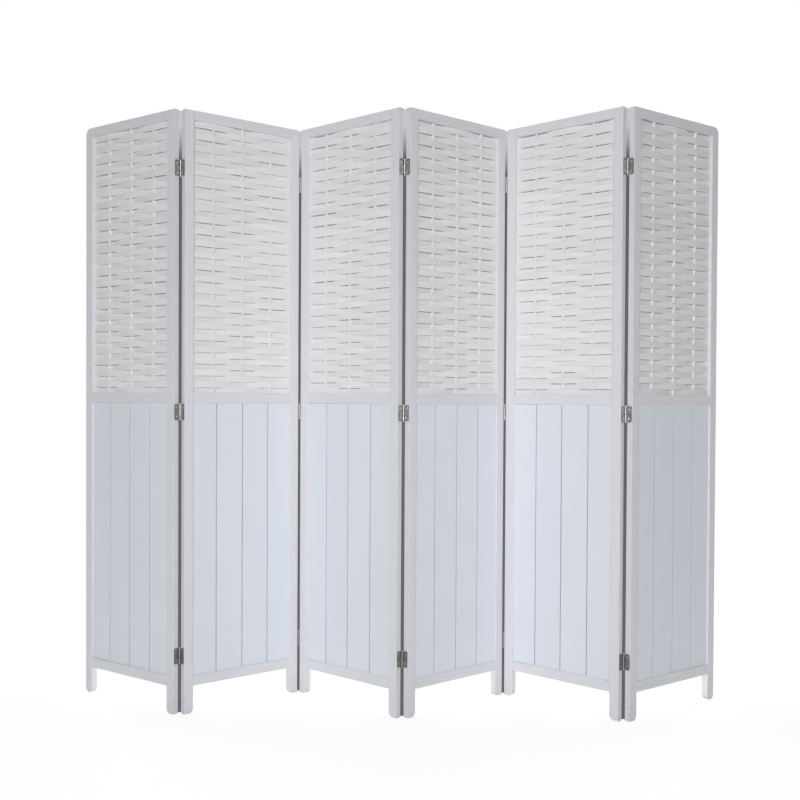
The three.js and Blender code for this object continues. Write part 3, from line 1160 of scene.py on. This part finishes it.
@dataclass
class ButtHinge:
    """One hinge: two leaves, their knuckles, the pin and four countersunk screws."""

    plan: Zigzag
    joint: int
    level: HingeLevel
    height: float = 0.045
    reach: float = 0.019
    plate: float = 0.0012
    barrel: float = 0.003
    bore: float = 0.00165
    pin: float = 0.0013
    clearance: float = 0.0003
    sleeve: float = 0.018
    corner: float = 0.0025
    screw: float = 0.0030

    @property
    def ends(self) -> tuple[float, float]:
        """The heights of the hinge's lower and upper end."""
        return self.level.value - self.height / 2, self.level.value + self.height / 2

    def knuckle(self, low: float, high: float) -> Shell:
        """One knuckle: a ring of the barrel whose two rims are softened."""
        r, b, c = self.barrel, self.bore, 0.0003
        profile = np.array([
            [b, low + c], [b + c, low], [r - c, low], [r, low + c],
            [r, high - c], [r - c, high], [b + c, high], [b, high - c],
        ])
        return lathe(profile, 28, True)

    def spans(self, side: Side) -> list[tuple[float, float]]:
        """The height spans of the knuckles that belong to the leaf on that side of a panel."""
        low, high = self.ends
        sleeve_low, sleeve_high = self.level.value - self.sleeve / 2, self.level.value + self.sleeve / 2
        if side is Side.LEFT:
            return [(sleeve_low, sleeve_high)]
        return [(low, sleeve_low - self.clearance), (sleeve_high + self.clearance, high)]

    def strap(self, start: float, end: float, low: float, high: float, corner: float) -> Shell:
        """A flat part of a leaf, with its end corners cut round.

        Args:
            start: distance from the pin where it starts.
            end: distance from the pin where it ends.
            low: lowest height.
            high: highest height.
            corner: radius of the two corners at its end.

        Returns:
            The surface, with the leaf on the side of minus X and running towards minus Y.
        """
        outline = rectangle(-end, -start, low, high)
        if corner > 0:
            lower = quarter(-end + corner, low + corner, corner, 2, 5)
            upper = quarter(-end + corner, high - corner, corner, 1, 5)
            outline = np.concatenate([lower, outline[1:3], upper])
        flat = slab(outline, -self.barrel, -self.barrel + self.plate, 0.00018, Grain.UPRIGHT)
        return flat.moved(lambda p: p[:, [1, 0, 2]]).outward()

    def leaf(self, side: Side) -> Shell:
        """One leaf with its knuckles, round a pin at 0, 0."""
        low, high = self.ends
        parts = [self.strap(self.barrel + self.clearance, self.reach, low, high, self.corner)]
        for start, end in self.spans(side):
            parts.append(self.strap(0.0, self.barrel + 0.001, start, end, 0.0))
            parts.append(self.knuckle(start, end))
        return joined(parts)

    def pin_shell(self) -> Shell:
        """The pin, with a low domed head at each end."""
        low, high = self.ends
        r, head, dome = self.pin, 0.0021, 0.0007
        profile = np.array([
            [0.0, low - dome], [head * 0.6, low - dome * 0.8], [head, low - 0.0001], [r, low],
            [r, high], [head, high + 0.0001], [head * 0.6, high + dome * 0.8], [0.0, high + dome],
        ])
        return lathe(profile, 20, False)

    def screw_shell(self, out: float, height: float) -> Shell:
        """A countersunk screw head with a cross-shaped recess.

        The face is a low dome on rings of points; every fourth spoke of the inner rings is
        sunk, which cuts the cross. Behind it a cone runs into the post.

        Args:
            out: distance of its middle from the pin.
            height: height of its middle.

        Returns:
            The surface, in the leaf's frame.
        """
        angle = np.arange(16) * (math.pi / 8)
        radius = np.array([0.16, 0.36, 0.60, 0.86, 1.0, 0.42])[:, None] * self.screw
        lift = np.array([0.00022, 0.0002, 0.00016, 0.00010, 0.0, -0.0019])[:, None]
        sunk = np.array([0.0006, 0.0006, 0.0004, 0.0, 0.0, 0.0])[:, None] * (np.arange(16) % 4 == 0)
        turned = angle + 0.4
        return stacked(np.stack([
            self.plate - self.barrel + lift - sunk,
            radius * np.cos(turned) - out,
            radius * np.sin(turned) + height,
        ], axis=-1), Grain.UPRIGHT)

    def place(self, side: Side) -> Motion:
        """The function that carries a leaf from its pin to the frame of the panel that holds it."""
        pin = self.plan.pin(self.joint, side)
        flip = np.array([
            1.0 if side is Side.RIGHT else -1.0, 1.0 if self.plan.folds[self.joint] > 0 else -1.0, 1.0
        ])
        return lambda points: points * flip + np.array([pin[0], pin[1], 0.0])

    def build(self, maker: Maker, finishes: Finishes) -> None:
        """Makes the leaves, the pin and the screws."""
        a, b = self.joint + 1, self.joint + 2
        level = self.level.name.lower()
        name, node = f"hinge_{a}_{b}_{level}", f"joint_{a}_{b}_{level}_hinge"
        screws = [(0.0086, self.level.value - 0.0140), (0.0128, self.level.value + 0.0135)]
        for side, panel, solid in (
            (Side.RIGHT, self.joint, f"{node}_pin_leaf"),
            (Side.LEFT, self.joint + 1, f"{node}_sleeve_leaf"),
        ):
            place = self.place(side)
            owner = f"panel_{panel + 1}"
            maker.piece(
                f"{name}_leaf_{owner}", self.leaf(side).moved(place), finishes.nickel, panel,
                (solid,),
            )
            heads = joined([self.screw_shell(out, height) for out, height in screws])
            maker.piece(
                f"{name}_screws_{owner}", heads.moved(place), finishes.screw, panel
            )
        maker.piece(
            f"{name}_pin", self.pin_shell().moved(self.place(Side.RIGHT)), finishes.screw,
            self.joint, (f"{node}_pin_leaf",),
        )


# ---- Studio ----


@dataclass
class Studio:
    """Ground, lamps and camera, none of which belong to the screen.

    Attributes:
        camera_place: where the camera stands.
        turn: how far it is turned to the left of straight ahead, in degrees.
        tilt: how far it looks down, in degrees.
        roll: how far it leans to the left, in degrees.
        focal_pixels: its focal length in pixels of an image 800 wide.
        centre_pixel: where its axis meets that image.
    """

    plan: Zigzag
    camera_place: Place = (-0.0460, -3.1878, 0.9233)
    turn: float = 1.474
    tilt: float = 0.889
    roll: float = 0.263
    focal_pixels: float = 1065.3
    centre_pixel: tuple[float, float] = (356.2, 413.6)
    image: float = 800.0
    middle: Place = (0.0, 0.0, 0.9)
    sky: float = 0.095
    key: float = 24.2
    front: float = 25.3
    back: float = 66.0
    top: float = 24.0

    def camera(self) -> None:
        """Sets the camera to the photographed view."""
        data = bpy.data.cameras.new("view_camera")
        data.sensor_width = 36.0
        data.lens = self.focal_pixels / self.image * data.sensor_width
        data.shift_x = (self.image / 2 - self.centre_pixel[0]) / self.image
        data.shift_y = (self.centre_pixel[1] - self.image / 2) / self.image
        data.clip_start, data.clip_end = 0.05, 60.0
        thing = linked("view_camera", data)
        turn = Matrix.Rotation(math.radians(self.turn), 4, "Z")
        look = Matrix.Rotation(math.radians(90.0 - self.tilt), 4, "X")
        roll = Matrix.Rotation(math.radians(self.roll), 4, "Z")
        thing.matrix_world = Matrix.Translation(self.camera_place) @ turn @ look @ roll
        bpy.context.scene.camera = thing

    def lamp(
        self, name: str, place: Place, width: float, height: float,
        power: float, spread: float,
    ) -> None:
        """Hangs a soft rectangular lamp that points at the middle of the screen.

        Its strength is divided by the square of its distance, and the even falloff keeps it
        the same at any distance, so that a panel that folds towards the lamp keeps its colour.

        Args:
            name: the lamp's name.
            place: where it hangs.
            width: its width.
            height: its height.
            power: its power in watts.
            spread: the full angle of its beam, in degrees.
        """
        data = bpy.data.lights.new(name, "AREA")
        data.shape, data.size, data.size_y = "RECTANGLE", width, height
        data.energy, data.spread = power, math.radians(spread)
        aim = Vector(self.middle) - Vector(place)
        recipe = Recipe(data)
        even = recipe.node("ShaderNodeLightFalloff", {"Strength": 1.0 / aim.length_squared})
        glow = recipe.shader("ShaderNodeEmission", WHITE, even.outputs["Constant"])
        recipe.node("ShaderNodeOutputLight", {"Surface": glow})
        thing = linked(name, data)
        thing.matrix_world = Matrix.Translation(place) @ aim.to_track_quat("-Z", "Y").to_matrix().to_4x4()

    def world(self) -> None:
        """Sets an even pale sky, which the camera and shiny metal see as plain white."""
        world = bpy.data.worlds.new("pale_sky")
        recipe = Recipe(world)
        lit = recipe.shader("ShaderNodeBackground", (0.97, 0.98, 1.0, 1.0), self.sky)
        white = recipe.shader("ShaderNodeBackground", WHITE, 1.0)
        recipe.node("ShaderNodeOutputWorld", {"Surface": recipe.mixed(recipe.seen(), lit, white)})
        bpy.context.scene.world = world

    def ground(self) -> None:
        """Lays the pale ground, a flat sheet far wider than the view."""
        span = 9.0
        corners = np.array([[-span, -span, 0], [span, -span, 0], [span, span, 0], [-span, span, 0]])
        sheet = Shell(corners - [0, 0, 0.0006], [np.array([[0, 1, 2, 3]])], [False], corners[:, :2])
        thing = build_object("ground", sheet, PaleGround().build())

    def gap_shades(self, material: Material) -> None:
        """Stands a narrow dark sheet of painted shade in each gap between posts, so that the gap looks
        dark.

        Each strip spans the gap between two post edges, just inside the corners that are
        nearest the pin, and leaves out the hinges and the top end. It moves with the panel
        on its left but isn't part of the screen.

        Args:
            material: the painted shade.
        """
        s = self.plan.sizes
        inner, half = 0.0024, 0.0235
        ends = [0.004, *(level.value + d for level in HingeLevel for d in (-half, half)), s.height - 0.003]
        spans = list(zip(ends[::2], ends[1::2]))
        for joint, fold in enumerate(self.plan.folds):
            inward = s.thickness - inner if fold > 0 else inner
            left = self.plan.placed(joint)(np.array([[s.width + 0.0001, inward, 0.0]]))[0]
            right = self.plan.placed(joint + 1)(np.array([[-0.0001, inward, 0.0]]))[0]
            corners = np.array([
                [*point[:2], z] for low, high in spans
                for point, z in ((left, low), (right, low), (right, high), (left, high))
            ])
            quads = np.arange(len(corners)).reshape(-1, 4)
            strip = Shell(corners, [quads], [False], corners[:, [2, 0]])
            thing = build_object(f"gap_shade_{joint + 1}", strip, material)
            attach(thing, f"panel_{joint + 1}")

    def build(self, finishes: Finishes) -> None:
        """Builds the whole studio."""
        self.camera()
        self.world()
        self.ground()
        self.gap_shades(finishes.gap)
        for name, place, width, height, power, spread in (
            ("key_lamp", (-0.75, -3.9, 2.1), 1.7, 1.5, self.key, 120),
            ("front_lamp", (0.0, -3.9, 1.0), 1.2, 1.0, self.front, 120),
            ("back_lamp_left", (-3.0, 2.4, 1.9), 1.8, 1.5, self.back, 180),
            ("back_lamp_right", (3.0, 2.4, 1.9), 1.8, 1.5, self.back, 180),
            ("top_lamp", (0.0, 0.7, 4.4), 2.4, 1.4, self.top, 180),
        ):
            self.lamp(name, place, width, height, power, spread)
        bpy.context.scene.view_settings.view_transform = "Standard"


def main() -> None:
    """Builds the studio and the screen, piece by piece."""
    logging.basicConfig(level=logging.INFO, format="%(message)s")
    plan = Zigzag()
    finishes = Finishes.make()
    Studio(plan).build(finishes)
    maker = Maker(plan)
    leads = (True, True, False, False, False, False)
    rows = (46, 46, 46, 46, 47, 46)
    for index, (lead, count) in enumerate(zip(leads, rows)):
        PanelFrame(plan.sizes, index, len(leads) - 1).build(maker, finishes)
        BoardedField(plan.sizes, index).build(maker, finishes)
        WovenField(plan.sizes, index, lead, count).build(maker, finishes)
        log.info("panel %d of the screen is dressed", index + 1)
    for joint in range(len(plan.folds)):
        for level in HingeLevel:
            ButtHinge(plan, joint, level).build(maker, finishes)
    log.info("%d pieces in all", maker.count)


if __name__ == "__main__":
    main()
